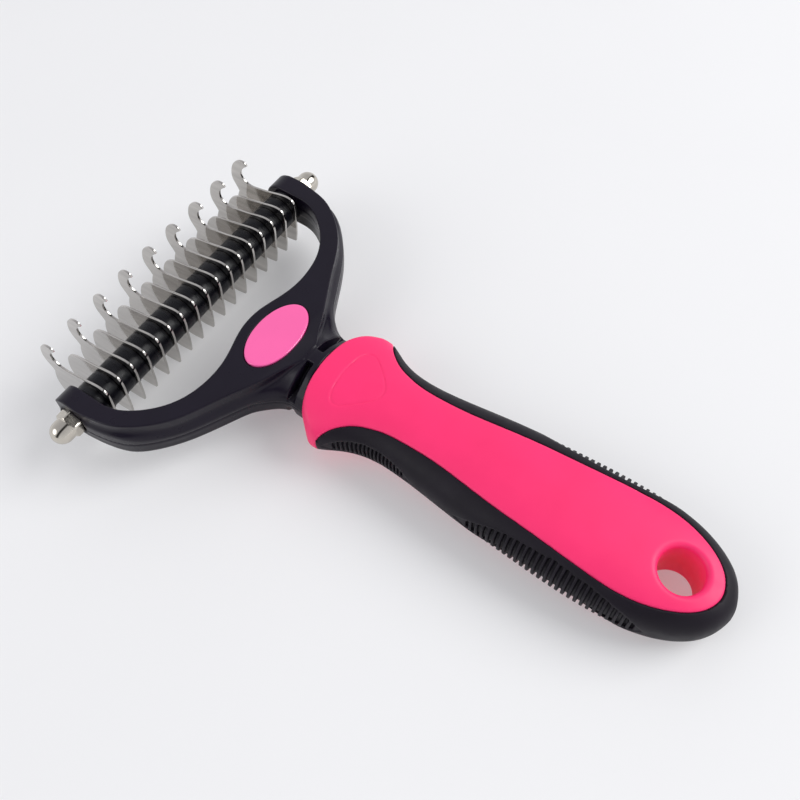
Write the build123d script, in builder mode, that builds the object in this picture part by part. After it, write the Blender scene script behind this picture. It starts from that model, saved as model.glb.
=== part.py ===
"""Undercoat rake for dogs and cats: a two-sided row of steel teeth on an axle,
carried by a plastic yoke on a soft-grip handle.

Millimetres, +Z up. The rake lies as it does on a table, on the tips of its
lower teeth and on the butt of the handle, so its long plane leans by LEAN
degrees. The shaft frame (TOP) has its origin on the axle, +X towards the butt,
+Y along the axle and +Z through the top badge; every profile is drawn in it.
"""
import os
from math import cos, radians, sin, pi

from build123d import *

os.makedirs("parts", exist_ok=True)

# ---------------------------------------------------------------- dimensions
LEAN = 3.0                 # slope of the handle, head up, degrees
SHAFT_X = -71.516          # axle centre in the part frame
SHAFT_Z = 16.03

# tooth plates
PLATES = 17
PITCH = 4.85               # plate to plate along the axle
PLATE_T = 0.65
PLATE_BORE_R = 2.05

# axle, spacers and cap nuts (M4)
ROD_R = 2.0
ROD_HALF = 52.0
SPACER_R = 5.1
SPACER_RIM_R = 5.35
SPACER_RIM_W = 0.7
SPACER_BORE_R = 2.1
NUT_AF = 7.0
NUT_HEX_H = 3.2
NUT_DOME_R = 3.25
NUT_HEIGHT = 8.0
NUT_SEAT_Y = 47.0          # seat of the cap nuts, inside the arm's recess
NUT_RECESS_R = 4.3

# yoke
YOKE_HALF = 5.8            # half thickness of the raised face
FLANGE_LOW, FLANGE_HIGH = -5.7, 3.6   # the flange outside the crease, set low on the faces
ARM_INNER = 41.3
ARM_OUTER = 47.85
ARM_FRONT = -7.2
BOSS_BORE_R = 2.1
NECK_A, NECK_B, NECK_Z = 10.5, 8.5, -1.5
SLOT_X0, SLOT_X1 = 42.0, 44.1
SLOT_DEPTH = 3.4
TANG_HALF_W, TANG_HALF_T, TANG_END = 6.0, 4.2, 84.0

# badges
BADGE_X = 30.1
BADGE_A, BADGE_B = 6.3, 11.2
BADGE_T = 1.7
BADGE_SEAT = 4.6           # height of the pocket floor over the mid plane

# handle
HOLE_X = 147.3
HOLE_R = 5.6
HOLE_ROUND = 1.3
HOLE_WALL = 14.0           # straight length of the hole's wall

# Profiles (x, z) of the tooth plates, shared by both kinds below the front.
TOP_REAR = [(-9.24, 4.10), (-6.49, 4.78), (-3.52, 5.58), (-0.33, 6.60), (2.31, 7.32), (3.96, 7.43), (5.28, 6.93), (6.05, 5.72)]
REAR = [(6.05, 5.72), (6.16, 3.96), (5.88, 0.55), (5.45, -3.85), (4.95, -7.92), (4.40, -10.78)]
BOTTOM = [(4.40, -10.78), (2.20, -11.28), (-1.65, -11.44), (-5.50, -11.50), (-8.80, -11.88), (-11.44, -12.98), (-13.42, -14.74), (-14.85, -16.83)]
CLAW_FRONT = [(-14.85, -16.83), (-16.50, -14.52), (-17.60, -11.44), (-17.93, -8.25)]
SHORT_FRONT = [(-17.93, -8.25), (-17.49, -5.39), (-16.50, -2.31), (-15.18, 0.22), (-13.42, 2.20), (-11.44, 3.35), (-9.24, 4.10)]
HOOK_FRONT = [(-17.93, -8.25), (-17.38, -5.06), (-16.61, -2.64), (-15.95, -0.99)]
HOOK_OUTER = [(-15.95, -0.99), (-16.50, 0.55), (-17.27, 2.20), (-17.71, 4.18), (-17.49, 6.38), (-16.83, 8.58), (-15.73, 10.67), (-14.19, 12.21), (-12.54, 12.93), (-11.22, 12.65), (-10.67, 11.77)]
HOOK_INNER = [(-10.67, 11.77), (-11.99, 10.56), (-13.20, 8.80), (-13.70, 6.93), (-13.20, 5.28), (-11.99, 4.35), (-10.60, 3.98), (-9.24, 4.10)]

# Plan outlines (x, y) of the yoke and handle, +Y half.
YOKE_OUTER = [(2.0, 47.85), (5.5, 47.6), (11.0, 46.65), (16.5, 44.6), (21.3, 40.6), (26.5, 33.9), (30.3, 26.9), (32.8, 21.9), (35.3, 17.6), (37.8, 14.8), (40.2, 12.6), (42.9, 11.2)]
YOKE_CREASE = [(2.0, 47.3), (6.6, 46.64), (11.66, 45.32), (18.04, 41.58), (24.53, 34.76), (29.59, 25.19), (35.20, 14.41), (38.5, 7.70), (41.0, 2.8)]
YOKE_INNER = [(5.5, 41.3), (9.9, 40.59), (13.75, 38.5), (18.15, 34.54), (21.89, 28.6), (23.54, 22.0), (23.54, 15.4), (22.33, 9.9), (20.79, 4.4), (20.35, 0.0)]
HANDLE_FRONT = [(45.8, 0.0), (45.95, 3.6), (46.45, 7.2), (47.25, 10.2), (48.2, 12.6), (49.5, 14.6), (51.2, 16.1), (52.8, 17.4), (54.2, 18.9)]
CORE_EDGE = [(55.0, 19.6), (55.25, 18.3), (56.05, 16.6), (57.4, 14.75), (59.6, 12.6), (62.5, 10.6), (66.22, 9.13), (70.95, 8.09), (77.0, 7.81), (82.5, 7.92), (89.1, 8.47), (96.8, 9.46), (104.5, 10.34), (114.4, 11.11), (123.2, 11.88), (130.9, 12.43), (136.4, 12.54), (143.0, 11.77), (148.5, 10.01), (152.9, 7.59), (155.87, 4.62), (157.41, 0.0)]

# Handle sections: x, half width, half height, roundness exponent, height of the centre.
HANDLE_SECTIONS = [
    (44.0, 18.7, 9.1, 2.2, -1.8), (54.0, 18.5, 9.1, 2.2, -1.8), (60.5, 15.3, 8.8, 2.25, -1.45),
    (68.2, 13.0, 8.2, 2.3, -1.0), (77.0, 12.85, 7.9, 2.35, -0.6), (93.5, 14.7, 8.36, 2.4, -0.2),
    (115.0, 16.4, 8.70, 2.6, 0.0), (136.0, 16.55, 8.65, 2.8, 0.0), (148.5, 14.2, 8.20, 2.8, 0.0),
    (156.0, 10.4, 7.00, 2.6, 0.0), (160.3, 5.4, 4.70, 2.3, 0.0), (161.5, 2.42, 2.53, 2.0, 0.0),
]

# ------------------------------------------------------------------- planes
C, S = cos(radians(LEAN)), sin(radians(LEAN))
XD, ZD = Vector(C, 0, -S), Vector(S, 0, C)
ORIGIN = Vector(SHAFT_X, 0, SHAFT_Z)
TOP = Plane(origin=ORIGIN, x_dir=XD, z_dir=ZD)


def side(y=0.0):
    """Plane of the plates at y: local axes are the shaft frame's X and Z; normal is -Y."""
    return Plane(origin=ORIGIN + Vector(0, y, 0), x_dir=XD, z_dir=Vector(0, -1, 0))


def across(x=0.0):
    """Plane square to the handle at x: local axes are Y and the shaft frame's Z."""
    return Plane(origin=ORIGIN + XD * x, x_dir=Vector(0, 1, 0), z_dir=XD)


def half_section(a, b, n, zc, count=9):
    """Points down the +Y side of a rounded section of half width a and half height b, centred at height zc."""
    pts = [(0.0, zc + b)]
    for i in range(1, count - 1):
        t = pi / 2 - pi * i / (count - 1)
        c, s = abs(cos(t)), sin(t)
        pts.append((a * c ** (2 / n), zc + b * abs(s) ** (2 / n) * (1 if s >= 0 else -1)))
    return pts + [(0.0, zc - b)]


def finish(part, name):
    part.label = name
    export_step(part, f"parts/{name}.step")


# -------------------------------------------------------------- tooth plates
with BuildPart() as hook_plate:
    with BuildSketch(side()) as hook_profile:
        with BuildLine():
            Spline(TOP_REAR)
            Spline(REAR)
            Spline(BOTTOM)
            Spline(CLAW_FRONT + HOOK_FRONT[1:])
            Spline(HOOK_OUTER)
            Spline(HOOK_INNER)
        make_face()
        Circle(PLATE_BORE_R, mode=Mode.SUBTRACT)
    extrude(amount=PLATE_T / 2, both=True)

with BuildPart() as short_plate:
    with BuildSketch(side()) as short_profile:
        with BuildLine():
            Spline(TOP_REAR)
            Spline(REAR)
            Spline(BOTTOM)
            Spline(CLAW_FRONT + SHORT_FRONT[1:])
        make_face()
        Circle(PLATE_BORE_R, mode=Mode.SUBTRACT)
    extrude(amount=PLATE_T / 2, both=True)

for k in range(PLATES):
    y = (k - (PLATES - 1) / 2) * PITCH
    if k % 2 == 0:
        plate = hook_plate.part.moved(Location((0, y, 0)))
        finish(plate, f"hook_blade_{k // 2 + 1}")
    else:
        plate = short_plate.part.moved(Location((0, y, 0)))
        finish(plate, f"short_blade_{k // 2 + 1}")

# ------------------------------------------------------------------- spacers
SPACER_L = PITCH - PLATE_T
with BuildPart() as spacer:
    with BuildSketch(side(SPACER_L / 2)):
        Circle(SPACER_R)
        Circle(SPACER_BORE_R, mode=Mode.SUBTRACT)
    extrude(amount=SPACER_L)
    with BuildSketch(side(-SPACER_L / 2 + SPACER_RIM_W)):
        Circle(SPACER_RIM_R)
        Circle(SPACER_R - 0.4, mode=Mode.SUBTRACT)
    extrude(amount=SPACER_RIM_W)
    fillet(spacer.edges().filter_by(GeomType.CIRCLE).filter_by(lambda e: e.radius > SPACER_RIM_R - 0.01), 0.2)

for k in range(PLATES - 1):
    y = (k - (PLATES - 2) / 2) * PITCH
    finish(spacer.part.moved(Location((0, y, 0))), f"spacer_{k + 1:02d}")

END_GAP = ARM_INNER - ((PLATES - 1) / 2 * PITCH + PLATE_T / 2)
with BuildPart() as end_spacer:
    with BuildSketch(side(END_GAP / 2)):
        Circle(SPACER_R)
        Circle(SPACER_BORE_R, mode=Mode.SUBTRACT)
    extrude(amount=END_GAP)

for name, sign in (("end_spacer_left", -1), ("end_spacer_right", 1)):
    finish(end_spacer.part.moved(Location((0, sign * (ARM_INNER - END_GAP / 2), 0))), name)

# ---------------------------------------------------------- axle rod and nuts
with BuildPart() as axle_rod:
    with BuildSketch(side(ROD_HALF)):
        Circle(ROD_R)
    extrude(amount=2 * ROD_HALF)
    chamfer(axle_rod.edges().filter_by(GeomType.CIRCLE), 0.5)
finish(axle_rod.part, "axle_rod")

HEX_R = NUT_AF / 2 / cos(pi / 6)
DOME_BASE = NUT_HEIGHT - NUT_DOME_R
with BuildPart() as nut_right:
    with BuildSketch(side(NUT_SEAT_Y)):
        RegularPolygon(HEX_R, 6, rotation=30)
    extrude(amount=-NUT_HEX_H)
    # turned chamfer on the hexagon's outer corners
    with BuildSketch(Plane(origin=ORIGIN + Vector(0, NUT_SEAT_Y, 0), x_dir=XD, z_dir=ZD)):
        with BuildLine():
            Polyline((0, 0), (HEX_R, 0), (HEX_R, NUT_HEX_H - 0.55), (NUT_AF / 2 - 0.1, NUT_HEX_H), (0, NUT_HEX_H), (0, 0))
        make_face()
    revolve(axis=Axis(ORIGIN, (0, 1, 0)), revolution_arc=360, mode=Mode.INTERSECT)
    # dome
    with BuildSketch(Plane(origin=ORIGIN + Vector(0, NUT_SEAT_Y, 0), x_dir=XD, z_dir=ZD)):
        with BuildLine():
            Polyline((0, NUT_HEIGHT), (0, NUT_HEX_H - 0.5), (NUT_DOME_R, NUT_HEX_H - 0.5), (NUT_DOME_R, DOME_BASE))
            RadiusArc((NUT_DOME_R, DOME_BASE), (0, NUT_HEIGHT), -NUT_DOME_R)
        make_face()
    revolve(axis=Axis(ORIGIN, (0, 1, 0)), revolution_arc=360)
    # blind thread, at the rod's diameter
    with BuildSketch(side(NUT_SEAT_Y)):
        Circle(ROD_R)
    extrude(amount=-(ROD_HALF - NUT_SEAT_Y + 0.4), mode=Mode.SUBTRACT)

with BuildPart() as cap_nuts:
    add(nut_right.part)
    mirror(about=Plane.XZ)
finish(cap_nuts.part, "cap_nuts")

# ---------------------------------------------------------------------- yoke
with BuildPart() as yoke:
    # flange: the full plan outline, from the arm ends to the neck
    with BuildSketch(TOP.offset(FLANGE_LOW)):
        with BuildLine():
            Polyline((YOKE_INNER[0][0], ARM_INNER), (ARM_FRONT, ARM_INNER), (ARM_FRONT, ARM_OUTER), (YOKE_OUTER[0][0], ARM_OUTER))
            Spline(YOKE_OUTER)
            Polyline(YOKE_OUTER[-1], (48.0, YOKE_OUTER[-1][1]), (48.0, 0))
            Spline(YOKE_INNER, tangents=((1, 0), (0, -1)), tangent_scalars=(1, 1))
            Line(YOKE_INNER[-1], (48.0, 0))
        make_face()
        mirror(about=Plane.XZ)
    extrude(amount=FLANGE_HIGH - FLANGE_LOW)
    # raised faces inside the crease
    with BuildSketch(TOP):
        with BuildLine():
            Polyline((YOKE_INNER[0][0], ARM_INNER), (ARM_FRONT, ARM_INNER), (ARM_FRONT, YOKE_CREASE[0][1]), YOKE_CREASE[0])
            Spline(YOKE_CREASE)
            Polyline(YOKE_CREASE[-1], (YOKE_CREASE[-1][0], 0))
            Spline(YOKE_INNER, tangents=((1, 0), (0, -1)), tangent_scalars=(1, 1))
            Line(YOKE_INNER[-1], (YOKE_CREASE[-1][0], 0))
        make_face()
        mirror(about=Plane.XZ)
    extrude(amount=YOKE_HALF, both=True)
    # round the arm ends over the axle
    fillet(yoke.edges().filter_by(lambda e: abs(abs((e.center() - ORIGIN).dot(ZD)) - YOKE_HALF) < 0.01
                                  and abs((e.center() - ORIGIN).dot(XD) - ARM_FRONT) < 0.01), YOKE_HALF - 0.3)
    # neck, swelling from the bridge to the collar
    with BuildSketch(across(30.5)):
        Ellipse(15.0, YOKE_HALF - 0.1)
    with BuildSketch(across(36.5)):
        with Locations((0, NECK_Z / 2)):
            Ellipse(12.8, 7.5)
    with BuildSketch(across(41.0)):
        with Locations((0, NECK_Z)):
            Ellipse(NECK_A, NECK_B)
    loft()
    with BuildSketch(across(41.0)):
        with Locations((0, NECK_Z)):
            Ellipse(NECK_A, NECK_B)
    extrude(amount=10.0)
    # the collar ends on the handle's front
    with BuildSketch(TOP):
        with BuildLine():
            Spline(HANDLE_FRONT, tangents=((0, 1), (0.5, 1)), tangent_scalars=(1, 1))
            Polyline(HANDLE_FRONT[-1], (70, HANDLE_FRONT[-1][1]), (70, 0), HANDLE_FRONT[0])
        make_face()
        mirror(about=Plane.XZ)
    extrude(amount=20, both=True, mode=Mode.SUBTRACT)
    # four slots round the neck, parted by ribs above, below and at the sides
    with BuildSketch(across(SLOT_X0)):
        with Locations((0, NECK_Z)):
            Ellipse(NECK_A + 3, NECK_B + 3)
            Ellipse(NECK_A - SLOT_DEPTH, NECK_B - SLOT_DEPTH, mode=Mode.SUBTRACT)
            Rectangle(4.0, 40, mode=Mode.SUBTRACT)
            Rectangle(60, 2.8, mode=Mode.SUBTRACT)
    extrude(amount=SLOT_X1 - SLOT_X0, mode=Mode.SUBTRACT)
    # tang that anchors the yoke in the handle, with two windows
    with BuildSketch(TOP):
        with Locations(((TANG_END + 44.0) / 2, 0)):
            Rectangle(TANG_END - 44.0, 2 * TANG_HALF_W)
        with Locations((60.0, 0), (73.0, 0)):
            SlotOverall(7.0, 4.0, mode=Mode.SUBTRACT)
    extrude(amount=TANG_HALF_T, both=True)
    # axle bores and recessed nut seats
    with BuildSketch(side(60)):
        Circle(BOSS_BORE_R)
    extrude(amount=120, mode=Mode.SUBTRACT)
    for y0 in (60.0, -NUT_SEAT_Y):
        with BuildSketch(side(y0)):
            Circle(NUT_RECESS_R)
        extrude(amount=60.0 - NUT_SEAT_Y, mode=Mode.SUBTRACT)
    # badge pockets
    for sign in (1, -1):
        with BuildSketch(TOP.offset(sign * BADGE_SEAT)):
            with Locations((BADGE_X, 0)):
                Ellipse(BADGE_A, BADGE_B)
        extrude(amount=sign * 8, mode=Mode.SUBTRACT)
finish(yoke.part, "yoke")

# -------------------------------------------------------------------- badges
with BuildPart() as badge_top:
    with BuildSketch(TOP.offset(BADGE_SEAT)):
        with Locations((BADGE_X, 0)):
            Ellipse(BADGE_A, BADGE_B)
    extrude(amount=BADGE_T)
    fillet(badge_top.faces().sort_by(Axis.Z)[-1].edges(), 0.5)
finish(badge_top.part, "badge_top")

with BuildPart() as badge_bottom:
    with BuildSketch(TOP.offset(-BADGE_SEAT)):
        with Locations((BADGE_X, 0)):
            Ellipse(BADGE_A, BADGE_B)
    extrude(amount=-BADGE_T)
    fillet(badge_bottom.faces().sort_by(Axis.Z)[0].edges(), 0.5)
finish(badge_bottom.part, "badge_bottom")

# -------------------------------------------------------------------- handle
# The +Y half of the whole grip; core and side grip are parted from it along
# the core's plan outline, then mirrored.
with BuildPart() as handle_half:
    for x, a, b, n, zc in HANDLE_SECTIONS:
        with BuildSketch(across(x)):
            with BuildLine():
                Spline(half_section(a, b, n, zc), tangents=((1, 0), (-1, 0)), tangent_scalars=(1, 1))
                Line((0, zc - b), (0, zc + b))
            make_face()
    loft()

with BuildPart() as handle_core:
    add(handle_half.part)
    # plan outline of the hard core, its front curved round the collar
    with BuildSketch(TOP):
        with BuildLine():
            Spline(HANDLE_FRONT, tangents=((0, 1), (0.5, 1)), tangent_scalars=(1, 1))
            Line(HANDLE_FRONT[-1], CORE_EDGE[0])
            Spline(CORE_EDGE, tangents=((0.1, -1), (0, -1)), tangent_scalars=(1, 1))
            Polyline(HANDLE_FRONT[0], (HANDLE_FRONT[0][0], -4), (CORE_EDGE[-1][0], -4), CORE_EDGE[-1])
        make_face()
    extrude(amount=20, both=True, mode=Mode.INTERSECT)
    mirror(about=Plane.XZ)
    # socket for the tang; the core runs through the tang's windows
    with BuildSketch(TOP):
        with Locations(((TANG_END + 44.0) / 2, 0)):
            Rectangle(TANG_END - 44.0, 2 * TANG_HALF_W)
        with Locations((60.0, 0), (73.0, 0)):
            SlotOverall(7.0, 4.0, mode=Mode.SUBTRACT)
    extrude(amount=TANG_HALF_T, both=True, mode=Mode.SUBTRACT)
    # hanging hole, straight in the middle and rounded at both mouths
    with BuildSketch(side(0)):
        with BuildLine():
            Polyline((HOLE_X, -14), (HOLE_X, 14), (HOLE_X + HOLE_R + HOLE_ROUND, 14), (HOLE_X + HOLE_R + HOLE_ROUND, HOLE_WALL / 2 + HOLE_ROUND))
            RadiusArc((HOLE_X + HOLE_R + HOLE_ROUND, HOLE_WALL / 2 + HOLE_ROUND), (HOLE_X + HOLE_R, HOLE_WALL / 2), -HOLE_ROUND)
            Line((HOLE_X + HOLE_R, HOLE_WALL / 2), (HOLE_X + HOLE_R, -HOLE_WALL / 2))
            RadiusArc((HOLE_X + HOLE_R, -HOLE_WALL / 2), (HOLE_X + HOLE_R + HOLE_ROUND, -HOLE_WALL / 2 - HOLE_ROUND), -HOLE_ROUND)
            Polyline((HOLE_X + HOLE_R + HOLE_ROUND, -HOLE_WALL / 2 - HOLE_ROUND), (HOLE_X + HOLE_R + HOLE_ROUND, -14), (HOLE_X, -14))
        make_face()
    revolve(axis=Axis(ORIGIN + XD * HOLE_X, ZD), revolution_arc=360, mode=Mode.SUBTRACT)
finish(handle_core.part, "handle_core")

with BuildPart() as side_grip:
    add(handle_half.part)
    with BuildSketch(TOP):
        with BuildLine():
            Polyline(CORE_EDGE[0], (CORE_EDGE[0][0], 30), (0, 30), (0, -4), (CORE_EDGE[-1][0], -4), CORE_EDGE[-1])
            Spline(CORE_EDGE, tangents=((0.1, -1), (0, -1)), tangent_scalars=(1, 1))
        make_face()
    extrude(amount=20, both=True, mode=Mode.SUBTRACT)
    mirror(about=Plane.XZ)
finish(side_grip.part, "side_grip")
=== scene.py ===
"""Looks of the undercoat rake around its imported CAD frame. Millimetres in the
shaft frame (origin on the axle, x to the butt, y along the axle, z through the
top badge) are turned into metres in the row frame by place()."""
import math

import bpy
import numpy as np
from mathutils import Matrix, Vector


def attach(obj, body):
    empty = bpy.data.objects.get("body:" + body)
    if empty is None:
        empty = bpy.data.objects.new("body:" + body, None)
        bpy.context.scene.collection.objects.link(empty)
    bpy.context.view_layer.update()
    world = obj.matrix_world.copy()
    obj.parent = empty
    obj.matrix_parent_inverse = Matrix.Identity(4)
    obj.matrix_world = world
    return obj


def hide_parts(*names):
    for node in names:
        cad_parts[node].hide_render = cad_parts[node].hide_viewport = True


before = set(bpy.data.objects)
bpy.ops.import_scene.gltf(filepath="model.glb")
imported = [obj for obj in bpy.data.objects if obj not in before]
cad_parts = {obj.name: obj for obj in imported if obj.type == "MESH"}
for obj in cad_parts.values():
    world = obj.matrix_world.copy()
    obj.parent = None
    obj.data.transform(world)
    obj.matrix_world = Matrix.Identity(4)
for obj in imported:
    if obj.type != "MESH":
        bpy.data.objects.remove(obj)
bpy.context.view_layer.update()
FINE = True

# ---------------------------------------------------------------- shared frame
LEAN = math.radians(3.0)
C, S = math.cos(LEAN), math.sin(LEAN)
ORIGIN = np.array([-71.516, 0.0, 16.03])
AXES = np.array([[C, 0.0, S], [0.0, 1.0, 0.0], [-S, 0.0, C]])   # columns: x, y, z of the shaft frame

PITCH, PLATE_T, PLATES = 4.85, 0.65, 17
ARM_INNER, ARM_OUTER, ARM_FRONT = 41.3, 47.85, -7.2
YOKE_HALF, FLANGE_HALF, FLANGE_Z, NECK_Z = 5.8, 4.65, -1.05, -1.5
NUT_SEAT = 47.0

YOKE_OUTER = [(2.0, 47.85), (5.5, 47.6), (11.0, 46.65), (16.5, 44.6), (21.3, 40.6), (26.5, 33.9), (30.3, 26.9), (32.8, 21.9), (35.3, 17.6), (37.8, 14.8), (40.2, 12.6), (42.9, 11.2)]
YOKE_CREASE = [(2.0, 47.2), (6.6, 46.5), (11.66, 45.32), (18.04, 41.58), (24.53, 34.76), (29.59, 25.19), (35.20, 14.41), (38.5, 7.70), (41.0, 2.8)]
YOKE_INNER = [(5.5, 41.3), (9.9, 40.59), (13.75, 38.5), (18.15, 34.54), (21.89, 28.6), (23.54, 22.0), (23.54, 15.4), (22.33, 9.9), (20.79, 4.4), (20.35, 0.0)]
HANDLE_FRONT = [(45.8, 0.0), (45.95, 3.6), (46.45, 7.2), (47.25, 10.2), (48.2, 12.6), (49.5, 14.6), (51.2, 16.1), (53.0, 17.4), (55.0, 18.6)]
CORE_EDGE = [(54.8, 19.6), (55.1, 18.3), (56.05, 16.6), (57.4, 14.75), (59.6, 12.6), (62.5, 10.6), (66.22, 9.13), (70.95, 8.09), (77.0, 7.81), (82.5, 7.92), (89.1, 8.47), (96.8, 9.46), (104.5, 10.34), (114.4, 11.11), (123.2, 11.88), (130.9, 12.43), (136.4, 12.54), (143.0, 11.77), (148.5, 10.01), (152.9, 7.59), (155.87, 4.62), (157.41, 0.0)]
HANDLE_SECTIONS = [
    (44.0, 18.7, 9.1, 2.2, -1.8), (54.0, 18.5, 9.1, 2.2, -1.8), (60.5, 15.3, 8.8, 2.25, -1.45),
    (68.2, 13.0, 8.2, 2.3, -1.0), (77.0, 12.85, 7.9, 2.35, -0.6), (93.5, 14.7, 8.36, 2.4, -0.2),
    (115.0, 16.4, 8.70, 2.6, 0.0), (136.0, 16.55, 8.65, 2.8, 0.0), (148.5, 14.2, 8.20, 2.8, 0.0),
    (156.0, 10.4, 7.00, 2.6, 0.0), (160.3, 5.4, 4.70, 2.3, 0.0), (161.5, 2.42, 2.53, 2.0, 0.0),
]
HOLE_X, HOLE_R, HOLE_ROUND = 147.3, 5.6, 1.6
BADGE_X, BADGE_A, BADGE_B = 30.1, 6.3, 11.2
PAD = [(52.2, 0.0), (52.5, 4.0), (53.3, 7.2), (54.6, 8.6), (56.4, 8.6), (58.4, 7.3), (60.4, 5.7), (62.6, 3.6), (64.0, 1.8), (64.5, 0.0)]

TOP_REAR = [(-9.24, 4.10), (-6.49, 4.78), (-3.52, 5.58), (-0.33, 6.60), (2.31, 7.32), (3.96, 7.43), (5.28, 6.93), (6.05, 5.72)]
REAR = [(6.05, 5.72), (6.16, 3.96), (5.88, 0.55), (5.45, -3.85), (4.95, -7.92), (4.40, -10.78)]
BOTTOM = [(4.40, -10.78), (2.20, -11.28), (-1.65, -11.44), (-5.50, -11.50), (-8.80, -11.88), (-11.44, -12.98), (-13.42, -14.74), (-14.85, -16.83)]
CLAW_FRONT = [(-14.85, -16.83), (-16.50, -14.52), (-17.60, -11.44), (-17.93, -8.25)]
SHORT_FRONT = [(-17.93, -8.25), (-17.49, -5.39), (-16.50, -2.31), (-15.18, 0.22), (-13.42, 2.20), (-11.44, 3.35), (-9.24, 4.10)]
HOOK_FRONT = [(-17.93, -8.25), (-17.38, -5.06), (-16.61, -2.64), (-15.95, -0.99)]
HOOK_OUTER = [(-15.95, -0.99), (-16.50, 0.55), (-17.27, 2.20), (-17.71, 4.18), (-17.49, 6.38), (-16.83, 8.58), (-15.73, 10.67), (-14.19, 12.21), (-12.54, 12.93), (-11.22, 12.65), (-10.67, 11.77)]
HOOK_INNER = [(-10.67, 11.77), (-11.99, 10.56), (-13.20, 8.80), (-13.70, 6.93), (-13.20, 5.28), (-11.99, 4.35), (-10.60, 3.98), (-9.24, 4.10)]


def place(p):
    """Shaft frame in mm to row frame in metres."""
    return (np.asarray(p, float) @ AXES.T + ORIGIN) / 1000.0


# ------------------------------------------------------------------ curves
def slopes(d, P, t0=None, t1=None):
    n, h = len(P), np.diff(d)
    A, B = np.zeros((n, n)), np.zeros(P.shape)
    for i in range(1, n - 1):
        A[i, i - 1], A[i, i], A[i, i + 1] = h[i], 2 * (h[i - 1] + h[i]), h[i - 1]
        B[i] = 3 * (h[i] * (P[i] - P[i - 1]) / h[i - 1] + h[i - 1] * (P[i + 1] - P[i]) / h[i])
    for i, j, t in ((0, 1, t0), (n - 1, n - 2, t1)):
        A[i, i] = 1.0
        if t is not None:
            t = np.asarray(t, float)
            B[i] = t / np.linalg.norm(t)
        else:
            A[i, i], A[i, j] = 2.0, 1.0
            B[i] = 3 * (P[j] - P[i]) / (d[j] - d[i])
    return np.linalg.solve(A, B)


def hermite(d, P, M, at):
    i = np.clip(np.searchsorted(d, at, side="right") - 1, 0, len(d) - 2)
    h = d[i + 1] - d[i]
    u = (at - d[i]) / h
    if P.ndim > 1:
        u, h = u[:, None], h[:, None]
    return (P[i] * (1 + 2 * u) * (1 - u) ** 2 + P[i + 1] * u * u * (3 - 2 * u)
            + M[i] * h * u * (1 - u) ** 2 + M[i + 1] * h * u * u * (u - 1))


def spline(points, t0=None, t1=None, step=0.4):
    """Smooth curve through points, sampled about every step mm."""
    P = np.array(points, float)
    d = np.r_[0.0, np.cumsum(np.hypot(*np.diff(P, axis=0).T))]
    M = slopes(d, P, t0, t1)
    return hermite(d, P, M, np.linspace(0, d[-1], max(8, int(d[-1] / step) + 1)))


def table_1d(xs, ys, step=0.05):
    xs, ys = np.array(xs, float), np.array(ys, float)
    at = np.arange(xs[0], xs[-1] + step / 2, step)
    return at, hermite(xs, ys, slopes(xs, ys), at)


class Plan:
    """Signed distance to a closed outline in plan, negative inside, from a fine table over y >= 0."""

    def __init__(self, outline, lo, hi, step=0.2):
        self.lo, self.step = np.array(lo, float), step
        nx, ny = (np.ceil((np.array(hi) - lo) / step).astype(int) + 2)
        X, Y = np.meshgrid(lo[0] + step * np.arange(nx), lo[1] + step * np.arange(ny), indexing="ij")
        P = np.asarray(outline, float)
        Q = np.roll(P, -1, axis=0)
        best = np.full(X.shape, 1e9)
        inside = np.zeros(X.shape, bool)
        for (ax, ay), (bx, by) in zip(P, Q):
            dx, dy = bx - ax, by - ay
            L = dx * dx + dy * dy
            if L < 1e-12:
                continue
            t = np.clip(((X - ax) * dx + (Y - ay) * dy) / L, 0, 1)
            best = np.minimum(best, (X - ax - t * dx) ** 2 + (Y - ay - t * dy) ** 2)
            if ay != by:
                inside ^= ((ay > Y) != (by > Y)) & (X < ax + dx * (Y - ay) / dy)
        self.v = (np.sqrt(best) * np.where(inside, -1, 1)).astype(np.float32)

    def __call__(self, x, y):
        u = np.clip((x - self.lo[0]) / self.step, 0, self.v.shape[0] - 1.001)
        w = np.clip((np.abs(y) - self.lo[1]) / self.step, 0, self.v.shape[1] - 1.001)
        i, j = u.astype(np.int32), w.astype(np.int32)
        u, w = u - i, w - j
        v = self.v
        return ((v[i, j] * (1 - u) + v[i + 1, j] * u) * (1 - w) + (v[i, j + 1] * (1 - u) + v[i + 1, j + 1] * u) * w)


def mirrored(half):
    """A half outline from y>=0 to the axis and its mirror image, as one closed outline."""
    half = np.asarray(half, float)
    return np.vstack([half, (half * [1, -1])[::-1]])


# ------------------------------------------------------- solids as distances
def both(a, b, r):
    """Intersection with its edge rounded to radius r."""
    return np.minimum(np.maximum(a, b), -r) + np.hypot(np.maximum(a + r, 0), np.maximum(b + r, 0))


def join(a, b, k):
    """Union with its inner corner filled."""
    h = np.maximum(k - np.abs(a - b), 0) / k
    return np.minimum(a, b) - h * h * k * 0.25


def smooth(t):
    t = np.clip(t, 0, 1)
    return t * t * (3 - 2 * t)


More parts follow.
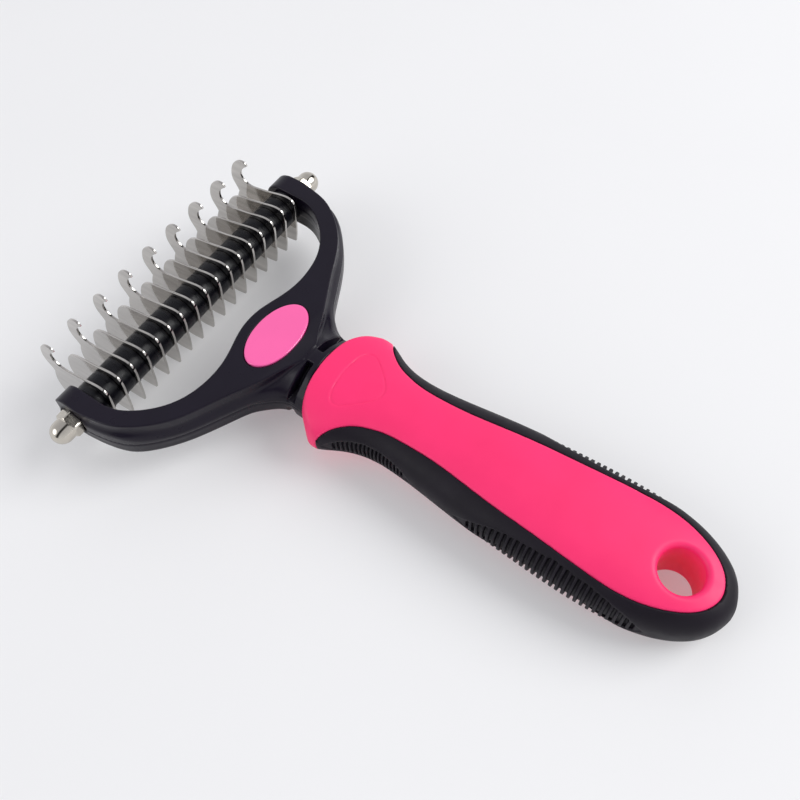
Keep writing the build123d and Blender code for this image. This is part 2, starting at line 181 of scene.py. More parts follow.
def skin(f, lo, hi, h, name, level=True, dense=None):
    """Closed mesh of f = 0, symmetric in y, and in z when level, as a Blender mesh in the row frame.
    dense holds (x knots, their grid places) and the same for y, where the grid is drawn closer."""
    if dense:
        (kx, gx), (ky, gy) = dense
        plain = f

        def f(x, y, z):
            return plain(np.interp(x, gx, kx), np.sign(y) * np.interp(np.abs(y), gy, ky), z)
    h = np.array(h, float)
    xs = np.arange(lo, hi[0] + h[0], h[0])
    ys = (np.arange(int(math.ceil(hi[1] / h[1]))) + 0.5) * h[1]
    zs = (np.arange(int(math.ceil(hi[2] / h[2]))) + 0.5) * h[2]
    if not level:
        zs = np.r_[-zs[::-1], zs]
    X, Y, Z = xs[:, None, None], ys[None, :, None], zs[None, None, :]
    parts = []
    for i in range(0, len(xs), 64):
        shape = (len(xs[i:i + 64]), len(ys), len(zs))
        parts.append(np.broadcast_to(f(X[i:i + 64], Y, Z), shape).astype(np.float32))
    V = np.concatenate(parts)
    V = np.concatenate([V[:, ::-1], V], 1)
    ys = np.r_[-ys[::-1], ys]
    if level:
        V = np.concatenate([V[:, :, ::-1], V], 2)
        zs = np.r_[-zs[::-1], zs]
    neg = V < 0
    n = neg.astype(np.int8)
    n = n[:-1] + n[1:]
    n = n[:, :-1] + n[:, 1:]
    n = n[:, :, :-1] + n[:, :, 1:]
    live = (n > 0) & (n < 8)
    index = np.full(live.shape, -1, np.int64)
    index[live] = np.arange(live.sum())
    ci = np.stack(np.nonzero(live), 1)
    corners = np.array([[i, j, k] for i in (0, 1) for j in (0, 1) for k in (0, 1)])
    val = np.stack([V[tuple((ci + c).T)] for c in corners], 1)
    total, count = np.zeros((len(ci), 3)), np.zeros(len(ci))
    for a in range(8):
        for b in range(a + 1, 8):
            if np.abs(corners[a] - corners[b]).sum() == 1:
                cross = (val[:, a] < 0) != (val[:, b] < 0)
                t = np.where(cross, val[:, a] / np.where(cross, val[:, a] - val[:, b], 1), 0)
                p = corners[a] + t[:, None] * (corners[b] - corners[a])
                total += p * cross[:, None]
                count += cross
    P = (ci + total / count[:, None]) * h + [xs[0], ys[0], zs[0]]
    quads = []
    for ax in range(3):
        o1, o2 = [(1, 2), (2, 0), (0, 1)][ax]
        a = [slice(None)] * 3
        b = [slice(None)] * 3
        a[ax], b[ax] = slice(0, -1), slice(1, None)
        s0, s1 = neg[tuple(a)], neg[tuple(b)]
        e = np.stack(np.nonzero(s0 != s1), 1)
        ok = (e[:, o1] > 0) & (e[:, o2] > 0) & (e[:, o1] < neg.shape[o1] - 1) & (e[:, o2] < neg.shape[o2] - 1)
        e = e[ok]
        c = []
        for d1, d2 in ((-1, -1), (0, -1), (0, 0), (-1, 0)):
            q = e.copy()
            q[:, o1] += d1
            q[:, o2] += d2
            c.append(index[tuple(q.T)])
        quad = np.stack(c, 1)
        flip = ~s0[tuple(e.T)]
        quad[flip] = quad[flip][:, ::-1]
        quads.append(quad)
    F = np.concatenate(quads)

    def value(p):
        return f(p[:, 0], p[:, 1], p[:, 2])

    def settle(p, cap):
        e = 0.01
        v = value(p)
        g = np.stack([value(p + d) - v for d in np.eye(3) * e], 1) / e
        s = v / np.maximum((g * g).sum(1), 0.05)
        move = g * s[:, None]
        size = np.linalg.norm(move, axis=1)
        return p - move * np.minimum(1, cap / np.maximum(size, 1e-9))[:, None], g

    cap = float(h.min()) * 0.5
    for _ in range(2):
        P, g = settle(P, cap)
    pairs = np.concatenate([F[:, [0, 1]], F[:, [1, 2]], F[:, [2, 3]], F[:, [3, 0]]])
    for _ in range(2):
        acc = np.stack([np.bincount(pairs[:, 0], P[pairs[:, 1], k], len(P)) + np.bincount(pairs[:, 1], P[pairs[:, 0], k], len(P)) for k in range(3)], 1)
        cnt = np.bincount(pairs[:, 0], minlength=len(P)) + np.bincount(pairs[:, 1], minlength=len(P))
        move = (acc / cnt[:, None] - P) * 0.6
        u = g / np.maximum(np.linalg.norm(g, axis=1), 1e-9)[:, None]
        move -= u * (move * u).sum(1)[:, None]
        P, g = settle(P + move, cap)
    P, g = settle(P, cap)
    if dense:
        P = np.stack([np.interp(P[:, 0], gx, kx), np.sign(P[:, 1]) * np.interp(np.abs(P[:, 1]), gy, ky), P[:, 2]], 1)
    print(name, len(F), "faces")
    me = bpy.data.meshes.new(name)
    me.vertices.add(len(P))
    me.vertices.foreach_set("co", place(P).astype(np.float32).ravel())
    me.loops.add(F.size)
    me.loops.foreach_set("vertex_index", F.astype(np.int32).ravel())
    me.polygons.add(len(F))
    me.polygons.foreach_set("loop_start", np.arange(0, F.size, 4, dtype=np.int32))
    me.update(calc_edges=True)
    me.validate()
    me.shade_smooth()
    return me


def piece(me, name, nodes, material):
    ob = bpy.data.objects.new(name, me)
    bpy.context.scene.collection.objects.link(ob)
    if not me.materials:
        me.materials.append(material)
    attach(ob, "root")
    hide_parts(*nodes)
    return ob


# ------------------------------------------------------------------ handle
hx = [s[0] for s in HANDLE_SECTIONS] + [161.85]
a_at, a_sq = table_1d(hx, [s[1] ** 2 for s in HANDLE_SECTIONS] + [0.0])
b_at, b_sq = table_1d(hx, [s[2] ** 2 for s in HANDLE_SECTIONS] + [0.0])
n_at, n_ex = table_1d(hx, [s[3] for s in HANDLE_SECTIONS] + [2.0])
c_at, c_z = table_1d(hx, [s[4] for s in HANDLE_SECTIONS] + [0.0])

front = spline(HANDLE_FRONT, (0, 1), (0.5, 1), 0.25)
core_edge = spline(CORE_EDGE, (0.1, -1), (0, -1))
side_plan = Plan(mirrored(np.vstack([[(30, 40), (54.8, 40)], core_edge])), (40, 0), (163, 23))
front_plan = Plan(mirrored(np.vstack([[(200, 0), (200, 40), (57, 40), (55.8, 21.5)], front[::-1]])), (40, 0), (163, 23))
pad_plan = Plan(mirrored(spline(PAD, (0, 1), (0, -1), 0.25)), (48, 0), (69, 12), 0.15)


def handle_skin(x, y, z):
    a = np.sqrt(np.maximum(np.interp(x, a_at, a_sq), 0.04))
    b = np.sqrt(np.maximum(np.interp(x, b_at, b_sq), 0.04))
    n = np.interp(x, n_at, n_ex)
    z = z - np.interp(x, c_at, c_z)
    u, w = np.maximum(np.abs(y) / a, 1e-4), np.maximum(np.abs(z) / b, 1e-4)
    un, wn = u ** n, w ** n
    s = un + wn
    r = s ** (1 / n)
    g = r / s * np.hypot(un / u / a, wn / w / b)
    return np.maximum((r - 1) / np.maximum(g, 1e-6), x - 161.85)


def tang(x, y, z, grow=0.0):
    box = np.maximum(np.maximum(np.abs(x - 64.0) - 20.0, np.abs(y) - 6.0), np.abs(z) - 4.2) - grow
    for c in (60.0, 73.0):
        slot = np.hypot(np.maximum(np.abs(x - c) - 1.5, 0), y) - 2.0
        box = np.maximum(box, -slot - grow)
    return box


def core(x, y, z):
    f = handle_skin(x, y, z)
    pd = pad_plan(x, y)
    f = f + 0.07 * smooth((0.22 - pd) / 0.44) + 0.17 * np.exp(-(pd / 0.18) ** 2)
    f = both(f, side_plan(x, y) + 0.02, 0.28)
    ay = np.abs(y)
    f = both(f, front_plan(x, y) + 0.04, 0.35 + 1.2 * smooth((ay - 8) / 8))
    f = both(f, HOLE_R - np.hypot(x - HOLE_X, y), HOLE_ROUND)
    return np.maximum(f, -tang(x, y, z, 0.05))


RIB_SETS = [
    # first groove, pitch, number, groove width, depth, (x, half height of the patch)
    (59.55, 1.13, 18, 0.62, 1.10, [(57.0, 0.0), (58.2, 1.0), (60.0, 2.0), (62.8, 2.7), (66.0, 3.1), (70.0, 3.15), (74.0, 2.8), (77.5, 1.9), (79.6, 1.0), (81.2, 0.0)]),
    (99.6, 1.645, 28, 0.84, 1.2, [(95.6, 0.0), (97.4, 1.0), (99.2, 1.8), (102.5, 3.3), (105.8, 4.4), (112.4, 5.4), (119.1, 5.9), (125.9, 6.0), (132.7, 5.6), (139.8, 4.2), (143.4, 2.6), (146.4, 0.0)]),
]
rib_tables = []
for x0, pitch, count, width, depth, shape in RIB_SETS:
    at, hh = table_1d([s[0] for s in shape], [s[1] for s in shape])
    rib_tables.append((x0, pitch, count, width, depth, at, np.maximum(hh, 0)))


def grip(x, y, z):
    f = handle_skin(x, y, z)
    az = np.abs(z - np.interp(x, c_at, c_z))
    out = f
    for x0, pitch, count, width, depth, at, hh in rib_tables:
        lens = np.interp(x, at, hh, left=-3.0, right=-3.0)
        out = out + 0.22 * smooth((lens + 0.40 - az) / 0.4) * (lens > -1)
        k = np.clip(np.round((x - x0) / pitch), 0, count - 1)
        dx = np.abs(x - x0 - k * pitch)
        cut = np.minimum(np.minimum(width / 2 - dx, f + depth), lens - 0.25 - az)
        out = both(out, cut, 0.12)
    return both(out, 0.03 - side_plan(x, y), 0.28)


H = 1.0 if FINE else 1.6
# grid places per mm: 1.9 over the pad, 1 elsewhere
core_x = ([45.0, 51.0, 66.0, 200.0], [45.0, 51.0, 79.5, 213.5])
core_y = ([0.0, 9.6, 60.0], [0.0, 15.4, 65.8])
core_mesh = skin(core, 45.0, (172.0, 26.5, 12.0), (0.44 * H, 0.43 * H, 0.45 * H), "handle_shell", False, (core_x, core_y))
grip_x = ([54.0, 58.5, 80.5, 98.0, 146.5, 200.0], [54.0, 56.7, 84.2, 94.7, 148.0, 180.1])
grip_y = ([0.0, 60.0], [0.0, 60.0])
grip_mesh = skin(grip, 54.0, (159.0, 19.6, 12.0), (0.255 * H, 0.42 * H, 0.37 * H), "side_grip_ribbed", False, (grip_x, grip_y))

# -------------------------------------------------------------------- yoke
r3 = 3.0
arc = [(ARM_FRONT + r3 - r3 * math.cos(t), ARM_OUTER - r3 + r3 * math.sin(t)) for t in np.linspace(0, math.pi / 2, 10)]
outer = np.vstack([[(ARM_FRONT, 0.0)], arc, spline(YOKE_OUTER, (1, 0), None)[0:], [(60, 12.5), (60, 0)]])
outer_plan = Plan(mirrored(outer), (-10, 0), (50, 50))
inner = np.vstack([[(-30, 0), (-30, ARM_INNER)], spline(YOKE_INNER, (1, 0), (0, -1))])
window_plan = Plan(mirrored(inner), (-10, 0), (50, 50))
crease = np.vstack([[(-30, 0), (-30, 46.9), (-6, 46.9)], spline(YOKE_CREASE, (1, -0.05), None), [(41.0, 0)]])
crease_plan = Plan(mirrored(crease), (-10, 0), (50, 50))
nk_at, nk_a = table_1d([24.0, 30.5, 36.5, 41.0, 44.0, 90.0], [15.6, 14.9, 12.8, 10.65, 10.5, 10.5])
nb_at, nb_b = table_1d([24.0, 30.5, 36.5, 41.0, 44.0, 90.0], [4.0, 5.4, 7.4, 8.45, 8.5, 8.5])
nk_a, nb_b = np.where(nk_at > 44, 10.5, nk_a), np.where(nb_at > 44, 8.5, nb_b)


def yoke(x, y, z):
    ay, az = np.abs(y), np.abs(z)
    d_out, d_win, d_cre = outer_plan(x, y), window_plan(x, y), crease_plan(x, y)
    x0 = ARM_FRONT + YOKE_HALF

    def slab(h, half):
        return np.where(x < x0, np.hypot(np.minimum(x - x0, 0), h) - half, np.abs(h) - half)

    # raised faces, swelling into the collar; the flange sits lower, with a broad upper shoulder
    nz = NECK_Z * smooth((x - 24.0) / 9.0)
    ridge = YOKE_HALF + np.where(z > 0, 1.2, 4.1) * np.clip((x - 35.0) / 6.4, 0, 1) ** 1.2
    top = np.where(x < x0, slab(z, YOKE_HALF), (az - ridge) * 0.9)
    raised = both(both(d_cre, top, 0.26), d_out + 0.02, 0.4)
    zf = z - FLANGE_Z
    up, far = smooth(zf / 2.0), smooth((x - 12.0) / 14.0)
    flange = both(d_out, slab(zf, FLANGE_HALF - 0.8 * up * far), 1.25 + up * (1.1 + 0.95 * far))
    a, b = np.interp(x, nk_at, nk_a), np.interp(x, nb_at, nb_b)
    zn = z - nz
    r = np.sqrt((y / a) ** 2 + (zn / b) ** 2) + 1e-6
    neck = (r - 1) * r / np.maximum(np.hypot(y / a ** 2, zn / b ** 2), 1e-6)
    neck = np.maximum(neck, 25.0 - x)
    body = join(flange, neck, 5.0 - 3.0 * smooth(z / 2.0 + 0.5))
    # shallow hollow along the foot of the raised face
    foot = np.exp(-((d_cre - 0.6) / 0.6) ** 2) * smooth((az - 2.0) / 1.0) * smooth((x + 4.0) / 4.0)
    body = join(body + 0.14 * foot, raised, 0.8)
    # parting line round the outside
    body = body + 0.22 * np.exp(-(zf / 0.24) ** 2) * smooth((d_out + 2.0) / 1.0)
    body = both(body, -d_win + 0.10 * smooth((az - 1.2) / 0.5), 0.45)
    # collar ends on the handle's front
    body = both(body, 0.12 - front_plan(x, y), 0.45)
    # four slots round the neck
    rin = np.sqrt((y / (10.5 - 3.4)) ** 2 + (zn / (8.5 - 3.4)) ** 2)
    slot = np.maximum(np.maximum(np.abs(x - 43.05) - 1.08, (1 - rin) * 5.5), np.maximum(2.0 - ay, 1.4 - np.abs(zn)))
    body = both(body, -slot, 0.15)
    # badge pocket, nut recess, axle bore
    pocket = (np.sqrt(((x - BADGE_X) / (BADGE_A + 0.18)) ** 2 + (y / (BADGE_B + 0.18)) ** 2) - 1) * 7.5
    body = both(body, -np.maximum(pocket, 4.6 - az), 0.2)
    rad = np.hypot(x, z)
    body = both(body, -np.maximum(rad - 4.3, NUT_SEAT - ay), 0.2)
    body = np.maximum(body, 2.1 - rad)
    return np.minimum(body, np.maximum(tang(x, y, z), 46.0 - x))


yoke_mesh = skin(yoke, -7.9, (84.6, 48.2, 11.4), (0.33 * H, 0.34 * H, 0.33 * H), "yoke_shell", False)


# --------------------------------------------------------------- turned parts
def turned(rings, name, segments=96, radius=None, close=True):
    """Mesh of rings (y, r) round the axle; radius(theta, y, r) may shape each ring. Ends close to a point on the axis."""
    th = np.linspace(0, 2 * math.pi, segments, endpoint=False)
    P, F = [], []
    for y, r in rings:
        rr = np.full(segments, r) if radius is None else radius(th, y, r)
        P.append(np.stack([rr * np.cos(th), np.full(segments, y), rr * np.sin(th)], 1))
    P = np.concatenate(P)
    m = len(rings)
    i = np.arange(segments)
    j = (i + 1) % segments
    last = m if close == "loop" else m - 1
    for k in range(last):
        a, b = k * segments, ((k + 1) % m) * segments
        F += [(a + p, b + p, b + q, a + q) for p, q in zip(i, j)]
    if close is True:
        for k, flip in ((0, False), (m - 1, True)):
            c = len(P)
            P = np.vstack([P, [0, rings[k][0], 0]])
            F += [((k * segments + p, k * segments + q, c) if not flip else (k * segments + q, k * segments + p, c)) for p, q in zip(i, j)]
    me = bpy.data.meshes.new(name)
    me.from_pydata([tuple(p) for p in P], [], [tuple(int(v) for v in q) for q in F])
    me.update()
    return me


def moved(me, dy, name, flip=False):
    """Copy of a mesh given in mm in the shaft frame, moved along the axle, in the row frame."""
    out = me.copy()
    out.name = name
    co = np.zeros(len(me.vertices) * 3)
    me.vertices.foreach_get("co", co)
    co = co.reshape(-1, 3)
    if flip:
        co = co * [1, -1, 1]
        out.flip_normals()
    out.vertices.foreach_set("co", place(co + [0, dy, 0]).astype(np.float32).ravel())
    out.update()
    return out


def arc_rings(cy, cr, r, t0, t1, n):
    return [(cy + r * math.sin(t), cr + r * math.cos(t)) for t in np.linspace(t0, t1, n)]


h2 = (PITCH - PLATE_T) / 2
q = math.pi / 2
SPACER = ([(-h2, 2.1), (-h2, 5.1)] + arc_rings(-h2 + 0.18, 5.17, 0.18, -q, 0, 4) + arc_rings(-h2 + 0.52, 5.17, 0.18, 0, q, 4)
          + [(-h2 + 0.74, 4.98)]
          + [(-h2 + 0.80 + 0.36 * k + d, 4.98 + e) for k in range(7) for d, e in ((0.0, 0.0), (0.06, 0.09), (0.24, 0.09), (0.30, 0.0))]
          + arc_rings(h2 - 0.26, 4.82, 0.24, 0, q, 5) + [(h2, 2.1)])
spacer_mesh = turned(SPACER, "spacer", 96, close="loop")
gap = ARM_INNER - ((PLATES - 1) / 2 * PITCH + PLATE_T / 2)
g2 = gap / 2
END = ([(-g2, 2.1), (-g2, 4.95)] + arc_rings(-g2 + 0.15, 4.95, 0.15, -q, 0, 3) + [(g2 - 0.15, 5.1), (g2 - 0.05, 5.06), (g2, 5.0), (g2, 2.1)])
end_mesh = turned(END, "end_spacer", 96, close="loop")

HEX = 3.5
def hexagon(th, y, r):
    m = HEX / np.cos((th + math.pi / 6) % (math.pi / 3) - math.pi / 6)
    m = np.minimum(m, HEX / math.cos(math.pi / 6) - 0.12)
    return np.minimum(m, r)


NUT = [(0.0, 2.0), (0.0, 3.2), (0.0, 3.62)]
NUT += [(0.10, 3.80), (0.28, 4.05)]
hex_rings = NUT + [(2.55, 4.05), (2.72, 3.95), (2.90, 3.78), (3.06, 3.58), (3.2, 3.36)]
dome_rings = [(3.2, 3.28), (3.30, 3.25), (4.75, 3.25)] + [(4.75 + 3.25 * math.sin(t), 3.25 * math.cos(t)) for t in np.linspace(0.12, 1.50, 16)] + [(8.0, 0.06)]


def nut_radius(th, y, r):
    return hexagon(th, y, r) if y < 3.19 and r > 3.3 else np.full(len(th), r)


rings = [(5.4, 0.01), (5.4, 2.0)] + hex_rings + dome_rings
nut_mesh = turned(rings, "nut", 144, nut_radius)


# ------------------------------------------------------------ tooth plates
def plate(outline, name):
    cu = bpy.data.curves.new(name, "CURVE")
    cu.dimensions = "2D"
    cu.fill_mode = "BOTH"
    cu.extrude = PLATE_T / 2 - 0.09
    cu.bevel_depth = 0.09
    cu.bevel_resolution = 1
    cu.offset = -0.09
    th = np.linspace(0, 2 * math.pi, 48, endpoint=False)
    for pts in (outline, np.stack([2.05 * np.cos(th), 2.05 * np.sin(th)], 1)):
        sp = cu.splines.new("POLY")
        sp.points.add(len(pts) - 1)
        for p, (a, b) in zip(sp.points, pts):
            p.co = (a, b, 0, 1)
        sp.use_cyclic_u = True
    ob = bpy.data.objects.new(name, cu)
    bpy.context.scene.collection.objects.link(ob)
    bpy.context.view_layer.update()
    me = bpy.data.meshes.new_from_object(ob.evaluated_get(bpy.context.evaluated_depsgraph_get()))
    bpy.data.objects.remove(ob)
    co = np.zeros(len(me.vertices) * 3)
    me.vertices.foreach_get("co", co)
    co = co.reshape(-1, 3)
    co = np.stack([co[:, 0], -co[:, 2], co[:, 1]], 1)
    me.vertices.foreach_set("co", co.ravel())
    me.materials.clear()
    me.update()
    return me


def ring_of(*runs):
    pts = []
    for r in runs:
        pts += [tuple(p) for p in r[:-1]]
    return pts


st = 0.22
back = [spline(TOP_REAR, step=st), spline(REAR, step=st), spline(BOTTOM, step=st)]
hook_line = ring_of(*back, spline(CLAW_FRONT + HOOK_FRONT[1:], step=st), spline(HOOK_OUTER, step=st), spline(HOOK_INNER, step=st))
short_line = ring_of(*back, spline(CLAW_FRONT + SHORT_FRONT[1:], step=st))
hook_mesh, short_mesh = plate(hook_line, "hook"), plate(short_line, "short")

# ------------------------------------------------------------------- badge
def badge(name, sign):
    n = 96
    th = np.linspace(0, 2 * math.pi, n, endpoint=False)
    prof = [(1.0, 4.6, 0), (1.0, 5.85, 0)]
    prof += [(1.0, 5.85 + 0.42 * math.sin(t), -0.42 * (1 - math.cos(t))) for t in np.linspace(0.2, 1.35, 6)]
    for s in (0.93, 0.85, 0.7, 0.5, 0.3, 0.12):
        prof.append((s, 6.27 + 0.12 * (1 - s * s), 0))
    P, F = [], []
    for s, z, off in prof:
        P += [(BADGE_X + (BADGE_A * s + off) * math.cos(t), (BADGE_B * s + off) * math.sin(t), sign * z) for t in th]
    m = len(prof)
    for k in range(m - 1):
        a, b = k * n, (k + 1) * n
        F += [(a + i, a + (i + 1) % n, b + (i + 1) % n, b + i) for i in range(n)]
    P += [(BADGE_X, 0, sign * 6.39), (BADGE_X, 0, sign * 4.6)]
    F += [((m - 1) * n + i, (m - 1) * n + (i + 1) % n, m * n) for i in range(n)]
    F += [((i + 1) % n, i, m * n + 1) for i in range(n)]
    if sign < 0:
        F = [f[::-1] for f in F]
    me = bpy.data.meshes.new(name)
    me.from_pydata([tuple(p) for p in place(P)], [], F)
    me.update()
    me.shade_smooth()
    return me


# --------------------------------------------------------------- materials
def material(name, colour, rough, metallic=0.0, ior=1.5, specular=0.5, coat=0.0, coat_rough=0.1,
             tint=0.06, tint_scale=40.0, rough_vary=0.06, bump=0.15, bump_scale=900.0, bump_mm=0.01, stretch=(1, 1, 1)):
    m = bpy.data.materials.new(name)
    m.use_nodes = True
    nt = m.node_tree
    b = nt.nodes["Principled BSDF"]
    b.inputs["Metallic"].default_value = metallic
    b.inputs["IOR"].default_value = ior
    b.inputs["Specular IOR Level"].default_value = specular
    b.inputs["Coat Weight"].default_value = coat
    b.inputs["Coat Roughness"].default_value = coat_rough
    co = nt.nodes.new("ShaderNodeTexCoord")
    mp = nt.nodes.new("ShaderNodeMapping")
    mp.inputs["Scale"].default_value = stretch
    nt.links.new(co.outputs["Object"], mp.inputs["Vector"])
    n1 = nt.nodes.new("ShaderNodeTexNoise")
    n1.inputs["Scale"].default_value = tint_scale
    n1.inputs["Detail"].default_value = 4
    nt.links.new(mp.outputs[0], n1.inputs["Vector"])
    ramp = nt.nodes.new("ShaderNodeValToRGB")
    c = np.array(colour)
    ramp.color_ramp.elements[0].position = 0.3
    ramp.color_ramp.elements[1].position = 0.7
    ramp.color_ramp.elements[0].color = (*np.clip(c * (1 - tint), 0, 1), 1)
    ramp.color_ramp.elements[1].color = (*np.clip(c * (1 + tint), 0, 1), 1)
    nt.links.new(n1.outputs["Fac"], ramp.inputs["Fac"])
    nt.links.new(ramp.outputs["Color"], b.inputs["Base Color"])
    n2 = nt.nodes.new("ShaderNodeTexNoise")
    n2.inputs["Scale"].default_value = tint_scale * 4
    n2.inputs["Detail"].default_value = 5
    nt.links.new(mp.outputs[0], n2.inputs["Vector"])
    mr = nt.nodes.new("ShaderNodeMapRange")
    mr.inputs["From Min"].default_value = 0.3
    mr.inputs["From Max"].default_value = 0.7
    mr.inputs["To Min"].default_value = rough - rough_vary
    mr.inputs["To Max"].default_value = rough + rough_vary
    nt.links.new(n2.outputs["Fac"], mr.inputs["Value"])
    nt.links.new(mr.outputs["Result"], b.inputs["Roughness"])
    n3 = nt.nodes.new("ShaderNodeTexNoise")
    n3.inputs["Scale"].default_value = bump_scale
    n3.inputs["Detail"].default_value = 3
    nt.links.new(mp.outputs[0], n3.inputs["Vector"])
    bp = nt.nodes.new("ShaderNodeBump")
    bp.inputs["Strength"].default_value = bump
    bp.inputs["Distance"].default_value = bump_mm / 1000
    nt.links.new(n3.outputs["Fac"], bp.inputs["Height"])
    nt.links.new(bp.outputs["Normal"], b.inputs["Normal"])
    return m


pink = material("soft_touch_pink", (0.99, 0.024, 0.160), 0.48, specular=0.44, tint=0.05, tint_scale=60, bump=0.25, bump_scale=2600, bump_mm=0.02)
rubber = material("grip_rubber", (0.0085, 0.0060, 0.0110), 0.50, specular=0.19, tint=0.18, tint_scale=90, bump=0.3, bump_scale=2200, bump_mm=0.03)
plastic = material("yoke_plastic", (0.0070, 0.0048, 0.0120), 0.31, specular=0.25, tint=0.12, tint_scale=70, bump=0.25, bump_scale=3000, bump_mm=0.012)
gloss = material("badge_gloss", (0.97, 0.125, 0.40), 0.20, specular=0.5, coat=0.5, coat_rough=0.06, tint=0.03, tint_scale=50, bump=0.05, bump_scale=600, bump_mm=0.01)
black = material("spacer_plastic", (0.0040, 0.0040, 0.0070), 0.30, specular=0.34, tint=0.1, tint_scale=200, rough_vary=0.05, bump=0.1, bump_scale=1200, bump_mm=0.01)
steel = material("blade_steel", (0.52, 0.50, 0.475), 0.08, metallic=1.0, tint=0.12, tint_scale=70, rough_vary=0.04, bump=0.12, bump_scale=500, bump_mm=0.004, stretch=(1, 1, 7))
nickel = material("plated_steel", (0.57, 0.535, 0.475), 0.12, metallic=1.0, tint=0.04, tint_scale=150, rough_vary=0.03, bump=0.08, bump_scale=700, bump_mm=0.004)

# ------------------------------------------------------------------ pieces
piece(core_mesh, "handle_core_look", ["handle_core"], pink)
piece(grip_mesh, "side_grip_look", ["side_grip"], rubber)
piece(yoke_mesh, "yoke_look", ["yoke"], plastic)
piece(badge("badge_top_mesh", 1), "badge_top_look", ["badge_top"], gloss)
piece(badge("badge_bottom_mesh", -1), "badge_bottom_look", ["badge_bottom"], gloss)

for k in range(PLATES):
    y = (k - (PLATES - 1) / 2) * PITCH
    kind, src = ("hook_blade", hook_mesh) if k % 2 == 0 else ("short_blade", short_mesh)
    node = f"{kind}_{k // 2 + 1}"
    me = moved(src, y, node + "_mesh")
    me.shade_smooth()
    me.set_sharp_from_angle(angle=math.radians(28))
    piece(me, node + "_look", [node], steel)

for k in range(PLATES - 1):
    y = (k - (PLATES - 2) / 2) * PITCH
    node = f"spacer_{k + 1:02d}"
    me = moved(spacer_mesh, y, node + "_mesh")
    me.shade_smooth()
    me.set_sharp_from_angle(angle=math.radians(40))
    piece(me, node + "_look", [node], black)
for node, s in (("end_spacer_left", -1), ("end_spacer_right", 1)):
    me = moved(end_mesh, s * (ARM_INNER - g2), node + "_mesh")
    me.shade_smooth()
    me.set_sharp_from_angle(angle=math.radians(40))
    piece(me, node + "_look", [node], black)

halves = []
for s in (1, -1):
    me = moved(nut_mesh, s * NUT_SEAT, f"nut_{s}", flip=s < 0)
    halves.append(me)
import bmesh
bm = bmesh.new()
for me in halves:
    bm.from_mesh(me)
nuts = bpy.data.meshes.new("cap_nuts_mesh")
bm.to_mesh(nuts)
bm.free()
nuts.shade_smooth()
nuts.set_sharp_from_angle(angle=math.radians(20))
piece(nuts, "cap_nuts_look", ["cap_nuts"], nickel)

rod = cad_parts["axle_rod"]
rod.data.materials.clear()
rod.data.materials.append(nickel)

# ------------------------------------------------------------------- stage
me = bpy.data.meshes.new("floor")
n = 24
R = [0.0] + [0.12 * 1.22 ** i for i in range(16)]
P = [(0, 0, 0)]
for r in R[1:]:
    P += [(r * math.cos(2 * math.pi * i / n), r * math.sin(2 * math.pi * i / n), 0) for i in range(n)]
F = [(0, 1 + i, 1 + (i + 1) % n) for i in range(n)]
for k in range(1, len(R) - 1):
    a, b = 1 + (k - 1) * n, 1 + k * n
    F += [(a + i, b + i, b + (i + 1) % n, a + (i + 1) % n) for i in range(n)]
me.from_pydata(P, [], F)
me.update()
floor = bpy.data.objects.new("floor", me)
bpy.context.scene.collection.objects.link(floor)
white = material("table_white", (0.63, 0.63, 0.635), 0.65, specular=0.20, tint=0.01, tint_scale=8, bump=0.05, bump_scale=300)
white.node_tree.nodes["Principled BSDF"].inputs["Emission Color"].default_value = (1.0, 1.0, 1.01, 1)
white.node_tree.nodes["Principled BSDF"].inputs["Emission Strength"].default_value = 0.235
me.materials.append(white)

world = bpy.data.worlds.new("studio")
bpy.context.scene.world = world
world.use_nodes = True
nt = world.node_tree
bg = nt.nodes["Background"]
co = nt.nodes.new("ShaderNodeTexCoord")
sep = nt.nodes.new("ShaderNodeSeparateXYZ")
nt.links.new(co.outputs["Generated"], sep.inputs[0])
ramp = nt.nodes.new("ShaderNodeValToRGB")
ramp.color_ramp.elements[0].position = 0.0
ramp.color_ramp.elements[0].color = (0.78, 0.79, 0.82, 1)
ramp.color_ramp.elements[1].position = 1.0
ramp.color_ramp.elements[1].color = (0.50, 0.50, 0.53, 1)
nt.links.new(sep.outputs["Z"], ramp.inputs["Fac"])
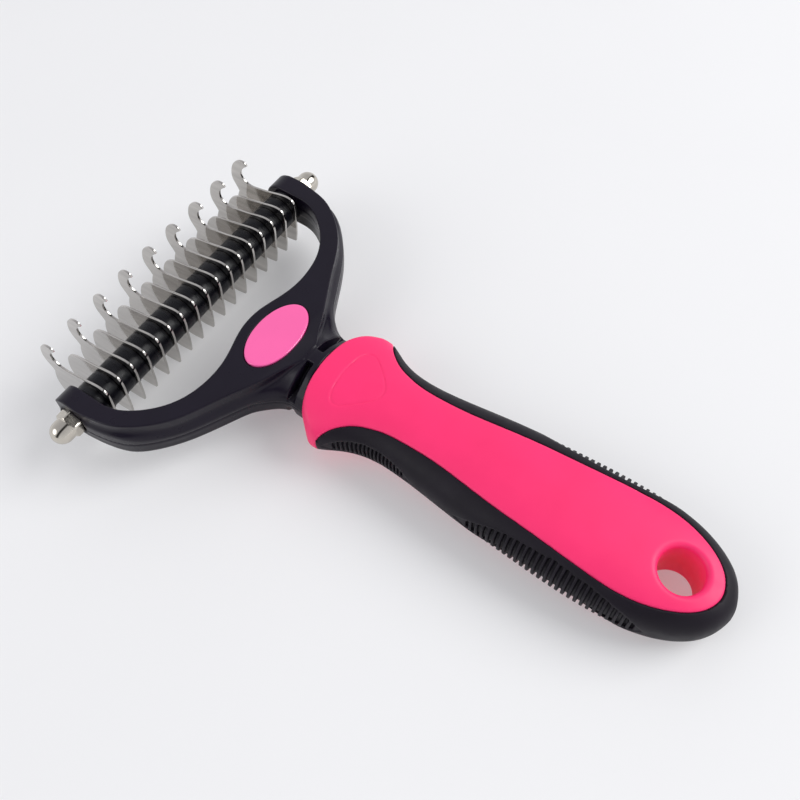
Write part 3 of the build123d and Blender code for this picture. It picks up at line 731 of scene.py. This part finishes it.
# a dim gap across the studio, which curved metal shows as a dark streak
dot = nt.nodes.new("ShaderNodeVectorMath")
dot.operation = "DOT_PRODUCT"
dot.inputs[1].default_value = (-0.926, 0.0, 0.376)
nt.links.new(co.outputs["Generated"], dot.inputs[0])
off = nt.nodes.new("ShaderNodeMath")
off.operation = "ABSOLUTE"
nt.links.new(dot.outputs["Value"], off.inputs[0])
dim = nt.nodes.new("ShaderNodeValToRGB")
dim.color_ramp.elements[0].position = 0.11
dim.color_ramp.elements[0].color = (0.05, 0.05, 0.05, 1)
dim.color_ramp.elements[1].position = 0.25
dim.color_ramp.elements[1].color = (1, 1, 1, 1)
nt.links.new(off.outputs[0], dim.inputs["Fac"])
mul = nt.nodes.new("ShaderNodeMixRGB")
mul.blend_type = "MULTIPLY"
mul.inputs["Fac"].default_value = 1.0
nt.links.new(ramp.outputs["Color"], mul.inputs["Color1"])
nt.links.new(dim.outputs["Color"], mul.inputs["Color2"])
nt.links.new(mul.outputs["Color"], bg.inputs["Color"])
bg.inputs["Strength"].default_value = 1.08


def light(name, at, target, size, power, colour=(1, 1, 1)):
    d = bpy.data.lights.new(name, "AREA")
    d.shape = "DISK"
    d.size = size
    d.energy = power
    d.color = colour
    o = bpy.data.objects.new(name, d)
    bpy.context.scene.collection.objects.link(o)
    o.location = at
    o.rotation_mode = "QUATERNION"
    o.rotation_quaternion = (Vector(target) - Vector(at)).to_track_quat("-Z", "Y")


light("key", (0.85, 0.75, 0.95), (0, 0, 0), 1.1, 16)
light("fill", (-0.7, -1.0, 0.75), (0, 0, 0), 1.0, 4.5)

# ------------------------------------------------------------------ camera
cd = bpy.data.cameras.new("camera")
cam = bpy.data.objects.new("camera", cd)
bpy.context.scene.collection.objects.link(cam)
cd.sensor_width = 36.0
cd.lens = 42.068
cd.clip_start, cd.clip_end = 0.01, 20
right = Vector((0.8213842, 0.5674434, -0.0577588)).normalized()
forward = Vector((-0.3432016, 0.4108146, -0.8446561)).normalized()
up = right.cross(forward).normalized()
right = forward.cross(up).normalized()
cam.matrix_world = Matrix(((right.x, up.x, -forward.x, 0.078475), (right.y, up.y, -forward.y, -0.095438), (right.z, up.z, -forward.z, 0.218330), (0, 0, 0, 1)))
bpy.context.scene.camera = cam
bpy.context.scene.view_settings.view_transform = "Standard"
